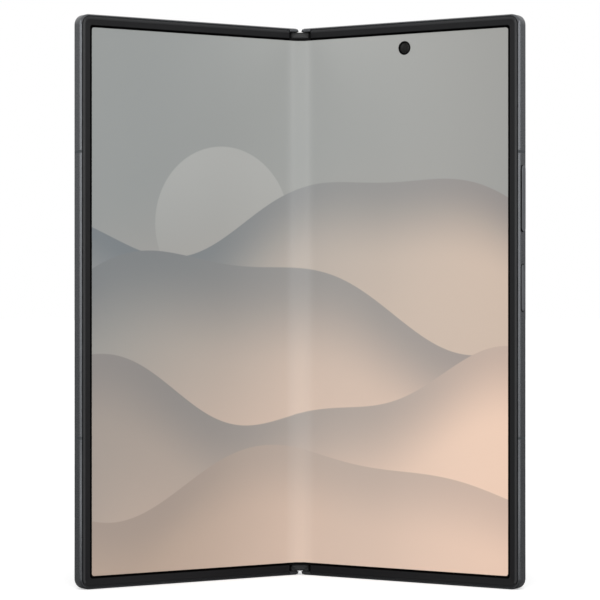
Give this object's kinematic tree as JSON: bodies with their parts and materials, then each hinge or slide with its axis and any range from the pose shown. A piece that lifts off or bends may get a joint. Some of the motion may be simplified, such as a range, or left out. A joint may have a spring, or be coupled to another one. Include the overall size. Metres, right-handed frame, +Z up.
{
  "type": "foldable smartphone",
  "caption": "Book-style folding phone, half open and standing: two thin halves, geared hinge, flexible inner display, cover display, rear camera island, sprung keys and card tray.",
  "frame": {"origin": "middle of the footprint, on the surface that the phone stands on", "axes": "+Z up along the fold, +Y away from the viewer of the inner display, +X to that viewer's right"},
  "size_m": [0.1244, 0.0415, 0.1584],
  "materials": {
    "frame_metal": "bead-blasted dark anodised",
    "bezel_plastic": "fine matte",
    "display_film": "flexible display film showing soft waves",
    "break_plastic": "moulded",
    "hinge_metal": "machined",
    "spine_metal": "dark anodised",
    "cap_plastic": "moulded",
    "copper_flex": "polyimide film",
    "washer_metal": "plain",
    "cover_glass": "polished black",
    "rear_glass": "frosted",
    "panel_black": "smooth",
    "camera_black": "moulded",
    "cell_foil": "wrapped pouch",
    "board_green": "solder mask",
    "magnet_metal": "nickel plated",
    "can_metal": "tin plated",
    "ring_metal": "turned and polished",
    "lens_glass": "coated lens",
    "flash_plastic": "ribbed lens",
    "coil_copper": "wound wire"
  },
  "bodies": {
    "spine": {"fold_display": "display_film", "spine_cover": "spine_metal", "spine_end_caps": "cap_plastic", "hinge_bases": "hinge_metal", "hinge_screws": "hinge_metal", "idler_shafts": "hinge_metal", "hinge_flex": "copper_flex", "friction_washers": "washer_metal"},
    "left_half": {"left_frame": "frame_metal", "left_bezel": "bezel_plastic", "left_display": "display_film", "left_antenna_breaks": "break_plastic", "left_brackets": "hinge_metal", "left_bracket_screws": "hinge_metal", "cover_glass": "cover_glass", "cover_panel": "panel_black", "cover_camera": "camera_black", "earpiece": "camera_black", "left_cell": "cell_foil", "left_board": "board_green", "left_magnets": "magnet_metal", "card_reader": "can_metal"},
    "right_half": {"right_frame": "frame_metal", "right_bezel": "bezel_plastic", "right_display": "display_film", "right_antenna_breaks": "break_plastic", "right_brackets": "hinge_metal", "right_bracket_screws": "hinge_metal", "rear_glass": "rear_glass", "camera_island": "frame_metal", "lens_rings": "ring_metal", "lens_glasses": "lens_glass", "flash_window": "flash_plastic", "camera_modules": "camera_black", "inner_camera": "camera_black", "right_cell": "cell_foil", "charging_coil": "coil_copper", "main_board": "board_green", "shield_cans": "can_metal", "usb_port": "can_metal", "sub_board": "board_green", "loudspeaker": "camera_black", "vibration_motor": "can_metal", "right_magnets": "magnet_metal", "key_switches": "copper_flex"},
    "left_arm": {"left_arms": "hinge_metal", "left_gear_shafts": "hinge_metal"},
    "right_arm": {"right_arms": "hinge_metal", "right_gear_shafts": "hinge_metal"},
    "left_idler": {"left_idlers": "hinge_metal"},
    "right_idler": {"right_idlers": "hinge_metal"},
    "rocker": {"volume_rocker": "frame_metal"},
    "power_key": {"side_key": "frame_metal"},
    "tray": {"card_tray": "frame_metal"}
  },
  "joints": [
    {"name": "right_fold", "type": "hinge", "parent": "spine", "child": "right_half", "pos_m": [0.00133, 0.01797, 0.0792], "axis": [0, 0, -1], "range_deg": [-32.3, 57.7], "deforming": ["fold_display"]},
    {"name": "left_fold", "type": "hinge", "parent": "spine", "child": "left_half", "pos_m": [-0.00133, 0.01797, 0.0792], "axis": [0, 0, 1], "range_deg": [-32.3, 57.7]},
    {"name": "right_arm_turn", "type": "hinge", "parent": "spine", "child": "right_arm", "pos_m": [0.00195, 0.01879, 0.0792], "axis": [0, 0, -1], "range_deg": [-32.3, 57.7]},
    {"name": "left_arm_turn", "type": "hinge", "parent": "spine", "child": "left_arm", "pos_m": [-0.00195, 0.01879, 0.0792], "axis": [0, 0, 1], "range_deg": [-32.3, 57.7]},
    {"name": "right_idler_turn", "type": "hinge", "parent": "spine", "child": "right_idler", "pos_m": [0.00065, 0.01879, 0.0792], "axis": [0, 0, 1], "range_deg": [-32.3, 57.7]},
    {"name": "left_idler_turn", "type": "hinge", "parent": "spine", "child": "left_idler", "pos_m": [-0.00065, 0.01879, 0.0792], "axis": [0, 0, -1], "range_deg": [-32.3, 57.7]},
    {"name": "rocker_press", "type": "slide", "parent": "right_half", "child": "rocker", "axis": [-0.8453, 0.5344, 0], "range_m": [0, 0.00025], "stiffness_N_per_m": 2000},
    {"name": "power_press", "type": "slide", "parent": "right_half", "child": "power_key", "axis": [-0.8453, 0.5344, 0], "range_m": [0, 0.00025], "stiffness_N_per_m": 2000},
    {"name": "tray_slide", "type": "slide", "parent": "left_half", "child": "tray", "axis": [0, 0, 1], "range_m": [0, 0.017]}
  ],
  "couplings": [
    {"joint": "left_fold", "follows": "right_fold", "ratio": 1},
    {"joint": "right_arm_turn", "follows": "right_fold", "ratio": 1},
    {"joint": "left_arm_turn", "follows": "right_fold", "ratio": 1},
    {"joint": "right_idler_turn", "follows": "right_fold", "ratio": 1},
    {"joint": "left_idler_turn", "follows": "right_fold", "ratio": 1}
  ]
}
